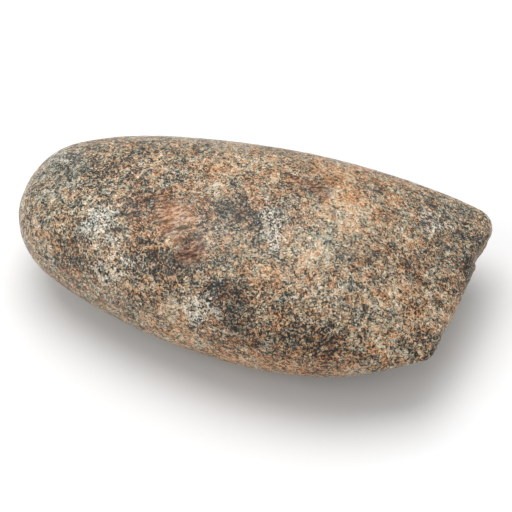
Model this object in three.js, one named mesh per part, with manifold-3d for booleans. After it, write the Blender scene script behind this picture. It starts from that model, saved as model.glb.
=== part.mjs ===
// A polished stone axe head of the thick-butted kind: one piece of coarse speckled rock, pecked to shape
// and ground smooth. It lies on one of its two broad faces, with its length along X, the blade at +X and
// the rounded butt at -X. Units are millimetres, +Z is up, and the origin is on the ground under the
// middle of the head.
import * as THREE from 'three';
import { ParametricGeometry } from 'three/addons/geometries/ParametricGeometry.js';
import { mergeVertices } from 'three/addons/utils/BufferGeometryUtils.js';
import Module from 'manifold-3d';

const wasm = await Module();
wasm.setup();

// Driving dimensions. Distances along the head are measured from the tip of the butt.
const HEAD_LENGTH = 151.5; // along the centre line, butt to blade
const WIDEST_AT = 100;
const THICKEST_AT = 76;
const FULL_THICKNESS = 52;
const SECTION_POWER = 2.3; // 2 is an ellipse, more is squarer
const BLADE_SKEW = 8.5; // degrees that the blade turns from square to the head
const BLADE_BOW = 0.45; // how far the middle of the blade stands out past its ends

// Each long side, in plan, from the centre line: the left one as the blade points away is the flatter.
const RIGHT_SIDE = { widest: 44.5, taper: 28, blade: 31.5, flarePower: 2.1, corner: 2 };
const LEFT_SIDE = { widest: 37, taper: 17.5, blade: 31.5, flarePower: 4.2, corner: 5.5 };
const BUTT_PLAN = { length: 15.5, power: 2.4 }; // how the plan closes round the butt

// The profile seen from the side.
const BUTT_THINNING = 5; // taken off each face between the thickest place and the butt
const BUTT_PROFILE = { length: 42, power: 2.2 };
const BLADE_THINNING_POWER = 2.1;
const EDGE_RADIUS = 2.8; // the blade is worn blunt

// Old chips out of the blade, by their place across it, and the flat that the head rests on.
const CHIPS = [
  { across: 12.8, width: 9.5, depth: 1.5, lean: 11 },
  { across: -19.9, width: 7.5, depth: 0.9, lean: 4 },
];
const CHIP_HEIGHT = 9;
const REST_FLAT_DEPTH = 0.8;

// How finely the solid is faceted.
const STATIONS = 60;
const FACETS_AROUND = 52;

const signedPower = (value, power) => Math.sign(value) * Math.abs(value) ** power;
const unit = (value) => THREE.MathUtils.clamp(value, 0, 1);
const arcDrop = (amount) => Math.sqrt(Math.max(1 - amount ** 2, 0));

// A blunt round end: 0 at the tip, 1 once the end's own length is passed.
function roundEnd(along, { length, power }) {
  const left = unit((length - along) / length);
  return Math.max(1 - left ** power, 0) ** (1 / power);
}

function halfWidth(along, side) {
  const toButt = unit((WIDEST_AT - along) / WIDEST_AT);
  const toBlade = unit((along - WIDEST_AT) / (HEAD_LENGTH - WIDEST_AT));
  const tapered = side.widest - side.taper * toButt ** 2;
  const flared = side.widest - (side.widest - side.blade) * toBlade ** side.flarePower;
  const intoCorner = unit((along - (HEAD_LENGTH - side.corner)) / side.corner);
  const cornerLoss = side.corner * (1 - arcDrop(intoCorner));
  return (along < WIDEST_AT ? tapered : flared) * roundEnd(along, BUTT_PLAN) - cornerLoss;
}

function halfThickness(along) {
  const half = FULL_THICKNESS / 2;
  const toButt = unit((THICKEST_AT - along) / THICKEST_AT);
  const toBlade = unit((along - THICKEST_AT) / (HEAD_LENGTH - THICKEST_AT));
  const towardsButt = half - BUTT_THINNING * toButt ** 2;
  const towardsBlade = half - (half - EDGE_RADIUS) * toBlade ** BLADE_THINNING_POWER;
  const intoEdge = unit((along - (HEAD_LENGTH - EDGE_RADIUS)) / EDGE_RADIUS);
  const body = along < THICKEST_AT ? towardsButt : towardsBlade;
  return body * roundEnd(along, BUTT_PROFILE) * arcDrop(intoEdge);
}

// The blade's end leans over in plan and bows outwards, more and more towards the edge.
function bladeX(along, y) {
  const share = unit((along - WIDEST_AT) / (HEAD_LENGTH - WIDEST_AT)) ** 2;
  const skew = Math.tan(THREE.MathUtils.degToRad(BLADE_SKEW)) * y;
  const bow = BLADE_BOW * (1 - (y / RIGHT_SIDE.blade) ** 2);
  return along + (skew + bow) * share;
}

function headSurface(u, v, target) {
  const along = HEAD_LENGTH * 0.5 * (1 - Math.cos(Math.PI * u));
  const angle = -2 * Math.PI * v;
  const sideways = signedPower(Math.cos(angle), 2 / SECTION_POWER);
  const upwards = signedPower(Math.sin(angle), 2 / SECTION_POWER);
  const y = sideways * halfWidth(along, sideways > 0 ? LEFT_SIDE : RIGHT_SIDE);
  target.set(bladeX(along, y), y, FULL_THICKNESS / 2 + upwards * halfThickness(along));
}

// Leaves out the triangles that closed up to nothing at the tips, and gives the rest as a solid.
function toSolid(geometry) {
  geometry.deleteAttribute('normal');
  geometry.deleteAttribute('uv');
  const merged = mergeVertices(geometry, 1e-4);
  const corners = Array.from(merged.index.array);
  const kept = [];
  for (let i = 0; i < corners.length; i += 3) {
    const [a, b, c] = corners.slice(i, i + 3);
    if (a !== b && b !== c && c !== a) kept.push(a, b, c);
  }
  const mesh = new wasm.Mesh({
    numProp: 3,
    vertProperties: Float32Array.from(merged.attributes.position.array),
    triVerts: Uint32Array.from(kept),
  });
  return new wasm.Manifold(mesh);
}

function toGeometry(solid) {
  const mesh = solid.getMesh();
  const geometry = new THREE.BufferGeometry();
  geometry.setAttribute('position', new THREE.BufferAttribute(mesh.vertProperties, 3));
  geometry.setIndex(new THREE.BufferAttribute(mesh.triVerts, 1));
  geometry.computeVertexNormals();
  return geometry;
}

// A chip is the shallow hollow that a flattened ball leaves where it bites into the edge.
function chipCutter({ across, width, depth, lean }) {
  const reach = width / 2;
  const ball = new THREE.SphereGeometry(1, 20, 14);
  ball.scale(2 * depth, reach, CHIP_HEIGHT);
  ball.rotateZ(THREE.MathUtils.degToRad(-BLADE_SKEW - lean));
  const edgeX = bladeX(HEAD_LENGTH, across);
  ball.translate(edgeX + depth, across, FULL_THICKNESS / 2);
  return toSolid(ball);
}

function restCutter() {
  const block = new THREE.BoxGeometry(2 * HEAD_LENGTH, 2 * HEAD_LENGTH, 2 * REST_FLAT_DEPTH);
  return toSolid(block);
}

function stoneAxeHead() {
  let solid = toSolid(new ParametricGeometry(headSurface, STATIONS, FACETS_AROUND));
  for (const chip of CHIPS) solid = solid.subtract(chipCutter(chip));
  solid = solid.subtract(restCutter());

  const geometry = toGeometry(solid);
  geometry.computeBoundingBox();
  const middle = geometry.boundingBox.getCenter(new THREE.Vector3());
  geometry.translate(-middle.x, -middle.y, -REST_FLAT_DEPTH);

  const stone = new THREE.MeshStandardMaterial({ color: 0x978674, roughness: 0.55, metalness: 0 });
  const head = new THREE.Mesh(geometry, stone);
  head.name = 'stone_axe_head';
  return head;
}

const axe = new THREE.Group();
axe.add(stoneAxeHead());

export default axe;
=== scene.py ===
# A loose prehistoric axe head of speckled rock, pecked to shape, ground and partly polished, then long
# buried. This builds its fine surface over the plain solid, gives it its stone, and lights it plainly.
import math

import bmesh
import bpy
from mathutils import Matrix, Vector, noise


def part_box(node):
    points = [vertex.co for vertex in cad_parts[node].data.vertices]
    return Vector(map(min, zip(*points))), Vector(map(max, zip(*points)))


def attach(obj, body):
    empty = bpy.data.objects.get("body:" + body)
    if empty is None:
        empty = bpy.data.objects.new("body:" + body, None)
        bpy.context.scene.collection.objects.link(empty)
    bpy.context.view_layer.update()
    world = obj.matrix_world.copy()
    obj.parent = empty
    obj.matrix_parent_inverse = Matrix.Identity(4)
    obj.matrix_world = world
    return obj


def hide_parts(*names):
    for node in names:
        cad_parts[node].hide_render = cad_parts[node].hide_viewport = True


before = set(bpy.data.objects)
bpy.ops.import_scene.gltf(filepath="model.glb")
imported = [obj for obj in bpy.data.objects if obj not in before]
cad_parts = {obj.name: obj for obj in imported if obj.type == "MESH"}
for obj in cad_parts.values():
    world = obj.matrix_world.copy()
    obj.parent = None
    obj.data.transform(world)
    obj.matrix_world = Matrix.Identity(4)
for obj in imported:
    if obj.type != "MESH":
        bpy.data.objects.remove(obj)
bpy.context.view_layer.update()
scene = bpy.context.scene
scene.view_settings.view_transform = "Standard"
mm = 0.001
print("frame loaded:", sorted(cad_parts))


def linearColour(hexCode):
    channels = [int(hexCode[i:i + 2], 16) / 255 for i in (1, 3, 5)]
    return [c / 12.92 if c <= 0.04045 else ((c + 0.055) / 1.055) ** 2.4 for c in channels] + [1.0]


def addNode(tree, kind, inputs=None, stops=(), **settings):
    # Adds a node with its settings. An input is a value, or another node's output to link to. Inputs
    # that share a name go by their number: on a colour mix 0 is the share, and 6 and 7 are the colours.
    node = tree.nodes.new(kind)
    for name, value in settings.items():
        setattr(node, name, value)
    for socket, value in (inputs or {}).items():
        if isinstance(value, bpy.types.NodeSocket):
            tree.links.new(value, node.inputs[socket])
        else:
            node.inputs[socket].default_value = value
    for index, (position, hexCode) in enumerate(stops):
        elements = node.color_ramp.elements
        stop = elements[index] if index < 2 else elements.new(position)
        stop.position = position
        stop.color = linearColour(hexCode)
    return node


def newMaterial(name):
    material = bpy.data.materials.new(name)
    material.use_nodes = True
    material.node_tree.nodes.clear()
    return material, material.node_tree


# Camera

view = {
    "target": Vector((3.2, 3.8, 19.9)) * mm,
    "azimuth": 14.55,  # degrees from straight in front, towards the blade
    "elevation": 50,
    "distance": 710 * mm,
    "lens": 150,
    "sensor": 36,
}


def placeCamera():
    azimuth, elevation = math.radians(view["azimuth"]), math.radians(view["elevation"])
    back = Vector((math.sin(azimuth) * math.cos(elevation),
                   -math.cos(azimuth) * math.cos(elevation),
                   math.sin(elevation)))
    data = bpy.data.cameras.new("camera")
    data.lens = view["lens"]
    data.sensor_width = view["sensor"]
    camera = bpy.data.objects.new("camera", data)
    camera.location = view["target"] + back * view["distance"]
    camera.rotation_euler = (-back).to_track_quat("-Z", "Y").to_euler()
    scene.collection.objects.link(camera)
    scene.camera = camera


placeCamera()
print("camera placed")


# Axe head

axeHead = {
    "voxel": 0.69 * mm,  # keeps the mesh under the triangle limit
    "weld": 0.002 * mm,
    "smoothing": 6,
    # wavelength, height and octaves of each layer of relief
    "grindingWaves": (26 * mm, 0.30 * mm, 1),
    "peckingDimples": (6.5 * mm, 0.13 * mm, 2),
    "grainRelief": (1.9 * mm, 0.05 * mm, 3),
    "edgeWear": (5 * mm, 0.35 * mm, 3),  # more of it towards the worn blade
    "bladeFrom": 0.80,  # share of the length, from the butt
    "wearPower": 3,
    "ruggedness": 0.6,
    "seed": Vector((3.1, 7.7, 1.9)),
    # wavelength and reach of the wander in every mark's outline
    "wander": [(6 * mm, 1.6 * mm), (2 * mm, 1.0 * mm)],
    "wanderSeed": 5,  # not nought, which would take the seed from the clock
    "markFade": 1.3,  # the higher, the sooner a mark fades from its centre
    # wavelength, strength and seed of what turns the ground mass lighter or darker, warmer or cooler
    "toneClouds": [(22 * mm, 0.5, Vector((1, 2, 3))), (8 * mm, 0.5, Vector((4, 5, 6)))],
    "earthClouds": [(26 * mm, 0.6, Vector((7, 8, 9))), (9 * mm, 0.4, Vector((10, 11, 12)))],
    "scarRidges": (2.4 * mm, 0.22 * mm),
    "scarSlant": Vector((0.5, -0.87, 0)),  # across the ridges
    "scarSqueeze": 1.2,
    "scarOnset": 3,  # ridges are full from a third of a millimetre deep
}

# Marks on the stone, in millimetres: centre, reach along X, Y and Z, and strength. The blade is at the
# end of X, and the front is towards lower Y.
marks = {
    "chalk": [
        # three blooms on the butt's front shoulder
        ((-44, -17, 45), (8, 8, 8), 1.0),
        ((-39, -28, 37), (7, 5, 6), 0.8),
        ((-32, -26, 41), (7, 6, 6), 0.8),
        # one down the front, half way along
        ((-4, -34, 40), (6, 5, 7), 0.9),
        ((-5, -37, 33), (5, 4, 7), 1.0),
        # one on the crown
        ((10, -5, 50), (5, 8, 5), 1.3),
        ((14, -14, 49), (4, 4, 5), 1.0),
        # one near the blade and one on the butt
        ((59, 19, 36), (7, 6, 6), 1.0),
        ((-62, 9, 43), (7, 6, 6), 0.7),
    ],
    "tone": [  # lighter above nought, darker below; some of these marks are painted light and shade
        # lighter from the crown to the blade, along the top
        ((26, -13, 47), (6, 9, 6), 0.9),
        ((30, 4, 47), (9, 8, 6), 0.7),
        ((16, 24, 47), (14, 6, 6), 0.6),
        ((33, 14, 46), (8, 8, 6), 0.6),
        ((47, 21, 40), (7, 7, 6), 0.6),
        ((-8, 12, 51), (10, 6, 5), 0.4),
        ((51, 7, 41), (7, 6, 6), 0.8),
        ((52, -12, 39), (8, 6, 6), 0.7),
        # pale spots down the front, and one behind the scar
        ((17, -35, 39), (7, 3, 4), 0.4),
        ((-15, -36, 32), (3, 3, 4), 0.9),
        ((-9, -38, 25), (7, 4, 5), 0.9),
        ((52, -33, 31), (11, 5, 6), 0.5),
        ((-10, 4, 51), (2, 6, 4), 0.9),
        # dark clouds over the crown and round the scar, which is lighter
        ((-31, -9, 49), (8, 10, 6), -1.1),
        ((0, -5, 51), (10, 5, 5), -1.1),
        ((9, -11, 50), (4, 4, 4), -0.7),
        ((-20, -9, 50), (7, 6, 6), 0.7),
        ((-12, -22, 47), (5, 6, 5), -0.9),
        ((22, 13, 49), (6, 5, 5), -0.7),
        ((-26, -24, 44), (7, 5, 6), -0.9),
        ((-49, 0, 48), (6, 8, 6), -0.6),
        # darker down the lower front: partly dark minerals, partly painted shade where the front turns
        # down from the light
        ((-18, -28, 42), (6, 6, 7), -1.0),
        ((4, -31, 42), (10, 6, 7), -1.3),
        ((8, -36, 37), (6, 4, 5), -0.8),
        ((12, -40, 31), (10, 4, 7), -0.7),
        ((36, -37, 34), (18, 7, 9), -1.05),
        # darker at the blade end: partly painted shade where the end turns away from the light
        ((68, -26, 27), (7, 6, 7), -0.9),
        ((75, 11, 28), (5, 10, 6), -1.6),
        # dark places towards the butt
        ((-32, -20, 46), (4, 4, 5), -0.7),
        ((-54, -14, 43), (5, 5, 6), -0.7),
        ((-50, -25, 33), (8, 8, 8), -0.7),
    ],
    "rust": [
        # the double scar, a fainter one on the crown and a stain low on the front
        ((-20, -10, 50), (9, 9, 6), 1.0),
        ((-12, -22, 47), (5, 6, 5), 1.3),
        ((22, 13, 49), (6, 5, 5), 0.9),
        ((-9, -38, 24), (4, 4, 4), 0.6),
    ],
    "earth": [  # warmer above nought, cooler below
        ((25, -40, 24), (42, 8, 16), 1.0),
        ((-22, -14, 48), (14, 14, 8), 0.8),
        ((0, -6, 51), (7, 5, 5), 0.6),
        ((71, -2, 29), (7, 6, 6), 0.5),
        ((76, 10, 26), (4, 9, 6), 0.6),
        ((18, 26, 46), (16, 9, 7), 0.4),
        ((-66, 5, 40), (12, 18, 14), -0.9),
        ((27, -7, 48), (14, 12, 7), -0.5),
        ((-44, -14, 46), (9, 9, 8), -0.8),
        ((73, -27, 22), (7, 8, 9), -0.9),
    ],
    "calm": [  # where the grains are more alike: finer grains, and over the far side painted sheen
        ((2, -19, 49), (10, 9, 6), 0.9),
        ((-21, -10, 50), (9, 8, 6), 0.6),
        ((-6, -2, 51), (8, 7, 5), 0.5),
        ((32, 2, 47), (26, 20, 10), 0.5),
        # over the far side: painted sheen, the grains evened as a slanting sheen washes them out
        ((-10, 32, 40), (60, 16, 20), 0.5),
    ],
    "scars": [  # their strength is a depth in millimetres
        ((-20, -10, 50), (9, 8, 8), 0.45),
        ((-12, -22, 47), (5, 6, 6), 0.55),
        ((22, 13, 49), (6, 5, 5), 0.25),
        ((-14, -37, 26), (9, 6, 4), 0.30),
    ],
}


def markStrength(point, kind):
    # A mark is strongest at its centre and stops at twice its reach.
    total = 0.0
    for centre, reach, strength in marks[kind]:
        squared = sum(((point[i] / mm - centre[i]) / reach[i]) ** 2 for i in range(3))
        if squared < 2 ** 2:
            total += strength * math.exp(-axeHead["markFade"] * squared)
    return total


def wander(point):
    moved = point.copy()
    for wavelength, reach in axeHead["wander"]:
        moved += reach * noise.noise_vector(point / wavelength)
    return moved


def clouds(point, name):
    return sum(strength * noise.noise(point / wavelength + seed)
               for wavelength, strength, seed in axeHead[name])


def waves(point, name):
    wavelength, height, octaves = axeHead[name]
    place = point / wavelength + axeHead["seed"]
    return height * noise.fractal(place, axeHead["ruggedness"], 2.0, octaves)


def alongScars(point):
    # Broken stone is ridged along one slant, so the ridges' pattern is squeezed across it.
    across = axeHead["scarSlant"]
    return point + axeHead["scarSqueeze"] * across * point.dot(across)


def reliefAt(point, share):
    # How far a point stands out or lies in, where the share is its way along the head.
    height = waves(point, "grindingWaves") + waves(point, "peckingDimples") + waves(point, "grainRelief")
    towardsEdge = (share - axeHead["bladeFrom"]) / (1 - axeHead["bladeFrom"])
    if towardsEdge > 0:
        height += towardsEdge ** axeHead["wearPower"] * waves(point, "edgeWear")
    scar = markStrength(wander(point), "scars")
    if scar > 0:
        wavelength, ridge = axeHead["scarRidges"]
        height -= scar * mm
        ridged = min(1, axeHead["scarOnset"] * scar)
        height += ridged * ridge * noise.noise(alongScars(point) / wavelength)
    return height


def evenMesh(node, name):
    # A copy of the plain solid, its loose triangles joined and evened out into small quads.
    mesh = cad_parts[node].data.copy()
    mesh.materials.clear()
    piece = bpy.data.objects.new(name, mesh)
    scene.collection.objects.link(piece)
    build = bmesh.new()
    build.from_mesh(mesh)
    bmesh.ops.remove_doubles(build, verts=build.verts, dist=axeHead["weld"])
    build.to_mesh(mesh)
    build.free()
    remesh = piece.modifiers.new("even quads", "REMESH")
    remesh.mode = "VOXEL"
    remesh.voxel_size = axeHead["voxel"]
    evaluated = piece.evaluated_get(bpy.context.evaluated_depsgraph_get())
    piece.data = bpy.data.meshes.new_from_object(evaluated)
    piece.data.name = name
    piece.modifiers.clear()
    bpy.data.meshes.remove(mesh)
    return piece


def buildHead():
    piece = evenMesh("stone_axe_head", "ground_head")
    low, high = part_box("stone_axe_head")
    noise.seed_set(axeHead["wanderSeed"])
    build = bmesh.new()
    build.from_mesh(piece.data)
    for _ in range(axeHead["smoothing"]):
        bmesh.ops.smooth_vert(build, verts=build.verts, factor=0.5,
                              use_axis_x=True, use_axis_y=True, use_axis_z=True)
    build.normal_update()
    tones = build.verts.layers.float_color.new("stoneTones")
    soils = build.verts.layers.float_color.new("stoneSoils")
    for vert in build.verts:
        start = vert.co.copy()
        height = reliefAt(start, (start.x - low.x) / (high.x - low.x))
        spot = wander(start)
        vert[tones] = (markStrength(spot, "tone") + clouds(start, "toneClouds"),
                       markStrength(spot, "chalk"), markStrength(spot, "rust"), 1)
        vert[soils] = (markStrength(spot, "earth") + clouds(start, "earthClouds"),
                       markStrength(spot, "calm"), -height / mm, 1)
        vert.co = start + vert.normal * height
        vert.co.z = max(vert.co.z, low.z)
    build.to_mesh(piece.data)
    build.free()
    piece.data.shade_smooth()
    print("axe head built:", len(piece.data.polygons), "faces")
    return piece


# Granodiorite, pecked, ground and partly polished: interlocking grains of black hornblende and mica,
# grey quartz, cream and salmon feldspar, with a low sheen on what stands proud and dull hollows.

stone = {
    # sizes in millimetres
    "largeCrystal": 1.5,
    "crystal": 0.67,
    "smallCrystal": 0.38,
    "bendSize": 1.2,  # the crystals' outlines are bent this often
    "bendReach": 0.9,  # and this far, so that they interlock
    "clusters": 2.8,  # like crystals gather
    "hues": 4,
    "gatheringDetail": 4,
    "lightness": -0.20,
    "meanLightness": 0.55,  # about what the shares below come to
    "shares": {"large": 0.18, "crystal": 0.41, "clusters": 0.45, "small": 0.48, "tone": 0.15,
               "chalk": 0.035},
    "calmLightness": 0.34,  # of all but the small crystals
    "calmness": 0.80,
    "minerals": [
        (0.00, "#080a0b"), (0.30, "#161d1e"), (0.40, "#2c3230"), (0.47, "#4d4d46"),
        (0.55, "#7b7262"), (0.66, "#a0907a"), (0.80, "#c2b196"), (0.95, "#ddd3c0"),
    ],
    "warmMinerals": [
        (0.00, "#100b07"), (0.32, "#2d1e14"), (0.46, "#6c4e39"), (0.65, "#ae8a6b"), (0.90, "#d6b698"),
    ],
    "chalky": [
        (0.00, "#080b0c"), (0.42, "#1b2426"), (0.50, "#4e5453"), (0.58, "#988f80"),
        (0.70, "#c4b9a4"), (0.90, "#e8e0d0"),
    ],
    "warmChance": 0.34,
    "casts": [(0.00, "#e8f6f8"), (0.35, "#ffffff"), (0.70, "#fff5dc"), (1.00, "#ffeae2")],
    # The rust ramp runs from painted shade between the scar's ridges to painted highlight on their
    # crests, over the rust's own brown.
    "rust": [
        (0.14, "#24140c"), (0.32, "#573a2b"), (0.46, "#84644f"), (0.60, "#a98a74"), (0.85, "#d3b8a4"),
    ],
    "rustShares": {"ridges": 1.5, "lightness": 0.35, "tone": 0.16},
    "ridge": 0.75,  # across; they are longer along a slant
    "ridgeStretch": (2.6, 1.0, 1.5),
    "ridgeSlant": math.radians(30),
    "ridgeDetail": 3,
    "markRaggedness": 2.4,  # how far a mark's edge follows the clusters
    "markEdge": (1.45, 2.15),
    "chalkCover": 0.85,
    "rustCover": 0.9,
    "hueShares": {"earth": 0.28, "chalk": -0.05},
    "hueSpread": 1.3,
    "tints": [(0.15, "#e4f2ff"), (0.50, "#ffffff"), (0.85, "#ffe8d0")],
    "polished": 0.42,  # roughness of what stands this high
    "polishedHeight": 0.2,
    "dull": 0.70,  # and of what lies this deep
    "dullDepth": 0.3,
    "ior": 1.54,
    "specular": 0.30,
    "veil": 0.13,  # fine dust in the pores greys what is seen at a slant
    "veilColour": "#d8d2c6",
    "grit": 0.7,
    "gritDetail": 3,
    "gritDepth": 0.10,
    "ridgeGrit": 6,  # how much more the rust's ridges stand out than the grit
    "streakRaggedness": 2,
    "streakEdge": (0.2, 1.3),  # full within this share of its half width, gone beyond the other
    # Smears of pale mineral and scratches, and painted shadow lines under the scars' broken steps, in
    # millimetres: two ends, half width, colour, share.
    "streaksAndShadowLines": [
        ((8, -4, 51), (11, -10, 50), 1.0, "#cbb9a0", 0.70),
        ((11, -10, 50), (15, -15, 49), 0.8, "#cfc2ae", 0.55),
        ((17, -20, 47), (24, -23, 45), 0.9, "#c2a88c", 0.50),
        ((-11, 6, 51), (-8, 0, 51), 0.6, "#ccbca5", 0.60),
        ((9, 19, 49), (15, 15, 49), 0.5, "#c9b9a4", 0.80),
        ((15, 19, 49), (21, 15, 49), 0.5, "#c4b09a", 0.70),
        ((59, -23, 33), (62, -26, 30), 0.9, "#c9ab8b", 0.70),
        # painted shadow lines under the scars' broken steps
        ((-21, -16, 49), (-15, -14, 49), 0.6, "#2a160c", 0.85),
        ((-10, -8, 51), (-7, -6, 51), 0.5, "#3a2215", 0.80),
        ((-17, -19, 48), (-10, -17, 49), 0.5, "#3a2216", 0.75),
        ((-24, -14, 49), (-20, -12, 49), 0.5, "#241a14", 0.75),
        ((-15, -26, 45), (-8, -19, 48), 0.6, "#402a1c", 0.70),
    ],
}


def addShares(tree, start, terms):
    # Adds each source, times its share, to a starting value.
    total = start
    for source, share in terms:
        total = addNode(tree, "ShaderNodeMath", {0: source, 1: share, 2: total},
                        operation="MULTIPLY_ADD").outputs[0]
    return total


def bendPlaces(tree, inMm):
    # Places bent to and fro, so that the crystals drawn at them interlock.
    bend = addNode(tree, "ShaderNodeTexNoise", {"Vector": inMm, "Scale": 1 / stone["bendSize"]})
    centred = addNode(tree, "ShaderNodeVectorMath", {0: bend.outputs["Color"], 1: (0.5, 0.5, 0.5)},
                      operation="SUBTRACT").outputs[0]
    return addNode(tree, "ShaderNodeVectorMath", {0: centred, 1: [2 * stone["bendReach"]] * 3, 2: inMm},
                   operation="MULTIPLY_ADD").outputs[0]


def crystalChances(tree, bent, size):
    # Three chances that hold all over one crystal.
    cells = addNode(tree, "ShaderNodeTexVoronoi", {"Vector": bent, "Scale": 1 / stone[size]})
    return addNode(tree, "ShaderNodeSeparateColor", {"Color": cells.outputs["Color"]}).outputs


def gathering(tree, inMm, size):
    return addNode(tree, "ShaderNodeTexNoise", {
        "Vector": inMm, "Scale": 1 / stone[size], "Detail": stone["gatheringDetail"]}).outputs["Fac"]


def storedMarks(tree, name):
    stored = addNode(tree, "ShaderNodeAttribute", attribute_name=name)
    return addNode(tree, "ShaderNodeSeparateColor", {"Color": stored.outputs["Color"]}).outputs


def crystalLightness(tree, chances, clusters, tone, chalk, calm):
    # How light a crystal is: its own chances, what gathers round it, and the marks on the stone, painted
    # light and shade among them.
    large, middling, small = chances
    shares = stone["shares"]
    lightness = addShares(tree, stone["lightness"], [
        (large, shares["large"]), (middling, shares["crystal"]), (clusters, shares["clusters"])])
    calmShare = addNode(tree, "ShaderNodeMath", {0: calm, 1: stone["calmness"]},
                        operation="MULTIPLY", use_clamp=True).outputs[0]
    calmed = addNode(tree, "ShaderNodeMix", {0: calmShare, 2: lightness, 3: stone["calmLightness"]},
                     data_type="FLOAT").outputs[0]
    return addShares(tree, calmed, [
        (small, shares["small"]), (tone, shares["tone"]), (chalk, shares["chalk"])])


def stoneHue(tree, hues, earth, chalk):
    # Warm and cool crystals gather too, and soil has warmed some of the stone.
    spread = stone["hueSpread"]
    shares = stone["hueShares"]
    return addShares(tree, 0.5 - 0.5 * spread, [
        (hues, spread), (earth, shares["earth"]), (chalk, shares["chalk"])])


def crystalColour(tree, lightness, hue, kindChance, castChance):
    # Plain or warm crystals, each with a slight cast of its own.
    warmth = addNode(tree, "ShaderNodeMath", {0: hue, 1: kindChance}, operation="SUBTRACT").outputs[0]
    isWarm = addNode(tree, "ShaderNodeMath", {0: warmth, 1: 0.5 - stone["warmChance"]},
                     operation="GREATER_THAN").outputs[0]
    plain, warm = (
        addNode(tree, "ShaderNodeValToRGB", {"Fac": lightness}, stops=stone[ramp]).outputs[0]
        for ramp in ("minerals", "warmMinerals"))
    colour = addNode(tree, "ShaderNodeMix", {0: isWarm, 6: plain, 7: warm}, data_type="RGBA").outputs[2]
    cast = addNode(tree, "ShaderNodeValToRGB", {"Fac": castChance}, stops=stone["casts"]).outputs[0]
    return addNode(tree, "ShaderNodeMix", {0: 1.0, 6: colour, 7: cast},
                   data_type="RGBA", blend_type="MULTIPLY").outputs[2]


def rustRidges(tree, inMm):
    slanted = addNode(tree, "ShaderNodeMapping", {
        "Vector": inMm, "Rotation": (0, 0, stone["ridgeSlant"]), "Scale": stone["ridgeStretch"],
    }, vector_type="TEXTURE").outputs["Vector"]
    return addNode(tree, "ShaderNodeTexNoise", {
        "Vector": slanted, "Scale": 1 / stone["ridge"], "Detail": stone["ridgeDetail"]}).outputs["Fac"]


def rustAndRidgeShade(tree, ridges, lightness, tone):
    # Where it is broken the stone is a rust brown, ridged rather than speckled, with painted shade
    # between the ridges and painted highlight on their crests.
    shares = stone["rustShares"]
    start = 0.5 - 0.5 * shares["ridges"] - stone["meanLightness"] * shares["lightness"]
    broken = addShares(tree, start, [
        (ridges, shares["ridges"]), (lightness, shares["lightness"]), (tone, shares["tone"])])
    return addNode(tree, "ShaderNodeValToRGB", {"Fac": broken}, stops=stone["rust"]).outputs[0]


def addMark(tree, colour, markColour, mark, clusters, cover):
    # Lays a mark's colour on, with a ragged edge that follows the clusters of crystals.
    ragged = addShares(tree, mark, [(clusters, stone["markRaggedness"])])
    begins, full = stone["markEdge"]
    share = addNode(tree, "ShaderNodeMapRange", {
        "Value": ragged, "From Min": begins, "From Max": full, "To Max": cover}).outputs[0]
    return addNode(tree, "ShaderNodeMix", {0: share, 6: colour, 7: markColour},
                   data_type="RGBA").outputs[2]


def addStreak(tree, colour, point, lightness, streak):
    # Mixes one streak into the colour: full along its middle, gone at its half width, and wider
    # over light crystals than dark ones, so that its edge is ragged.
    start, end, reach, hexCode, most = streak
    along = Vector(end) - Vector(start)
    offset = addNode(tree, "ShaderNodeVectorMath", {0: point, 1: start}, operation="SUBTRACT").outputs[0]
    share = addNode(tree, "ShaderNodeVectorMath", {0: offset, 1: along / along.length_squared},
                    operation="DOT_PRODUCT").outputs["Value"]
    share = addNode(tree, "ShaderNodeClamp", {"Value": share}).outputs[0]
    nearest = addNode(tree, "ShaderNodeVectorMath", {0: along, "Scale": share},
                      operation="SCALE").outputs[0]
    distance = addNode(tree, "ShaderNodeVectorMath", {0: offset, 1: nearest},
                       operation="DISTANCE").outputs["Value"]
    ragged = addShares(tree, distance, [(lightness, -stone["streakRaggedness"])])
    full, gone = (edge * reach - stone["streakRaggedness"] * stone["meanLightness"]
                  for edge in stone["streakEdge"])
    mask = addNode(tree, "ShaderNodeMapRange", {
        "Value": ragged, "From Min": full, "From Max": gone, "To Min": most, "To Max": 0.0}).outputs[0]
    return addNode(tree, "ShaderNodeMix", {0: mask, 6: colour, 7: linearColour(hexCode)},
                   data_type="RGBA").outputs[2]


def stoneBump(tree, inMm, rust, ridges):
    grit = addNode(tree, "ShaderNodeTexNoise", {
        "Vector": inMm, "Scale": 1 / stone["grit"], "Detail": stone["gritDetail"]}).outputs["Fac"]
    ridged = addNode(tree, "ShaderNodeMath", {0: rust, 1: ridges}, operation="MULTIPLY").outputs[0]
    height = addShares(tree, grit, [(ridged, stone["ridgeGrit"])])
    return addNode(tree, "ShaderNodeBump", {"Height": height, "Distance": stone["gritDepth"] * mm})


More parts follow.
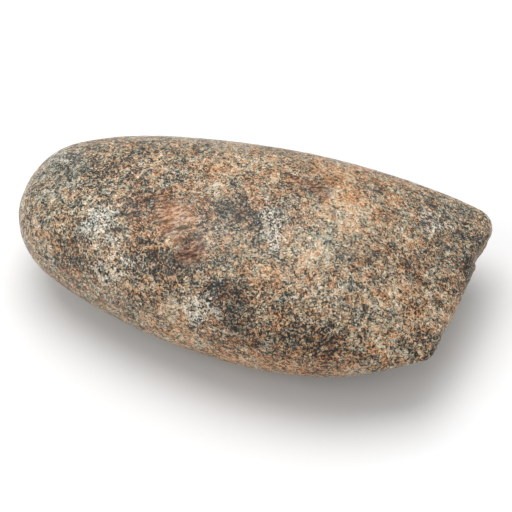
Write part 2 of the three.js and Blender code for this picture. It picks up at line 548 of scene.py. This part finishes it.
def granodiorite():
    material, tree = newMaterial("ground granodiorite")
    place = addNode(tree, "ShaderNodeTexCoord").outputs["Object"]
    inMm = addNode(tree, "ShaderNodeMapping", {"Vector": place, "Scale": [1 / mm] * 3}).outputs["Vector"]
    bent = bendPlaces(tree, inMm)
    large, crystal, small = (
        crystalChances(tree, bent, size) for size in ("largeCrystal", "crystal", "smallCrystal"))
    clusters, hues = (gathering(tree, inMm, size) for size in ("clusters", "hues"))
    tone, chalk, rust = storedMarks(tree, "stoneTones")
    earth, calm, hollow = storedMarks(tree, "stoneSoils")

    lightness = crystalLightness(tree, (large[0], crystal[0], small[0]), clusters, tone, chalk, calm)
    hue = stoneHue(tree, hues, earth, chalk)
    colour = crystalColour(tree, lightness, hue, crystal[1], crystal[2])
    chalky = addNode(tree, "ShaderNodeValToRGB", {"Fac": lightness}, stops=stone["chalky"]).outputs[0]
    colour = addMark(tree, colour, chalky, chalk, clusters, stone["chalkCover"])
    ridges = rustRidges(tree, inMm)
    rusty = rustAndRidgeShade(tree, ridges, lightness, tone)
    colour = addMark(tree, colour, rusty, rust, clusters, stone["rustCover"])
    for streak in stone["streaksAndShadowLines"]:
        colour = addStreak(tree, colour, bent, lightness, streak)
    tint = addNode(tree, "ShaderNodeValToRGB", {"Fac": hue}, stops=stone["tints"]).outputs[0]
    colour = addNode(tree, "ShaderNodeMix", {0: 1.0, 6: colour, 7: tint},
                     data_type="RGBA", blend_type="MULTIPLY").outputs[2]

    roughness = addNode(tree, "ShaderNodeMapRange", {
        "Value": hollow, "From Min": -stone["polishedHeight"], "From Max": stone["dullDepth"],
        "To Min": stone["polished"], "To Max": stone["dull"]})
    bump = stoneBump(tree, inMm, rust, ridges)
    surface = addNode(tree, "ShaderNodeBsdfPrincipled", {
        "Base Color": colour, "Roughness": roughness.outputs[0], "IOR": stone["ior"],
        "Specular IOR Level": stone["specular"], "Sheen Weight": stone["veil"],
        "Sheen Tint": linearColour(stone["veilColour"]), "Normal": bump.outputs["Normal"]})
    addNode(tree, "ShaderNodeOutputMaterial", {"Surface": surface.outputs[0]})
    return material


head = buildHead()
head.data.materials.append(granodiorite())
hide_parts("stone_axe_head")
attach(head, "root")
print("stone head finished")


# Studio

studio = {
    "floorSize": 6,
    "floorColour": "#e6e6e6",
    "sky": "#ffffff",
    "skyStrength": 0.52,
    "key": ((-0.25, 0.35, 1.40), 1.2, 19),  # place, size and power
    "fill": ((-0.95, -0.90, 0.95), 1.2, 8),
    "rim": ((0.80, 0.95, 0.90), 1.0, 1.6),
}


def areaLight(name):
    place, size, power = studio[name]
    data = bpy.data.lights.new(name, "AREA")
    data.size = size
    data.energy = power
    light = bpy.data.objects.new(name, data)
    light.location = place
    light.rotation_euler = (-Vector(place)).to_track_quat("-Z", "Y").to_euler()
    scene.collection.objects.link(light)


def buildStudio():
    build = bmesh.new()
    bmesh.ops.create_grid(build, x_segments=1, y_segments=1, size=studio["floorSize"] / 2)
    mesh = bpy.data.meshes.new("floor")
    build.to_mesh(mesh)
    build.free()
    floor = bpy.data.objects.new("floor", mesh)
    scene.collection.objects.link(floor)
    card, tree = newMaterial("matt white card")
    surface = addNode(tree, "ShaderNodeBsdfDiffuse", {"Color": linearColour(studio["floorColour"])})
    addNode(tree, "ShaderNodeOutputMaterial", {"Surface": surface.outputs[0]})
    mesh.materials.append(card)
    world = bpy.data.worlds.new("studio")
    world.use_nodes = True
    world.node_tree.nodes.clear()
    glow = addNode(world.node_tree, "ShaderNodeBackground",
                   {"Color": linearColour(studio["sky"]), "Strength": studio["skyStrength"]})
    addNode(world.node_tree, "ShaderNodeOutputWorld", {"Surface": glow.outputs[0]})
    scene.world = world
    for name in ("key", "fill", "rim"):
        areaLight(name)
    return floor


buildStudio()
print("studio lit")
